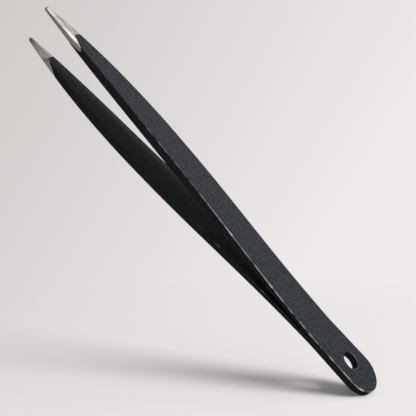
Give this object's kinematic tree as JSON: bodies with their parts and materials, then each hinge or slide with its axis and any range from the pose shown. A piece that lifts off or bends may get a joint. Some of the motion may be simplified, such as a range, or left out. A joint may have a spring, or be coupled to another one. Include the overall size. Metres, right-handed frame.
{
  "type": "tweezers",
  "caption": "Pointed spring tweezers whose arms join flat at the heel round a hanging hole, with a dark textured coat and bare ground tips.",
  "frame": {"origin": "centre of the hanging hole, on the middle plane between the arms", "axes": "+Z along the hanging hole, square to the flat faces, towards the upper arm; +X along the length towards the heel, tips at -X; +Y across the width"},
  "size_m": [0.096, 0.0088, 0.01],
  "materials": {
    "steel": "ground stainless steel",
    "weld": "fused stainless steel",
    "coat": "fine textured baked charcoal coat"
  },
  "bodies": {
    "heel": {"upper_tang": "steel", "lower_tang": "steel", "spot_welds": "weld", "heel_coat": "coat"},
    "upper_arm": {"upper_blade": "steel", "upper_coat": "coat"},
    "lower_arm": {"lower_blade": "steel", "lower_coat": "coat"}
  },
  "joints": [
    {"name": "upper_arm_flex", "type": "hinge", "parent": "heel", "child": "upper_arm", "pos_m": [-0.01135, 0, 0.0006], "axis": [0, -1, 0], "range_deg": [0, 2.7], "stiffness_Nm_per_rad": 2},
    {"name": "lower_arm_flex", "type": "hinge", "parent": "heel", "child": "lower_arm", "pos_m": [-0.01135, 0, -0.0006], "axis": [0, 1, 0], "range_deg": [0, 2.7], "stiffness_Nm_per_rad": 2}
  ],
  "couplings": [
    {"joint": "lower_arm_flex", "follows": "upper_arm_flex", "ratio": 1}
  ]
}
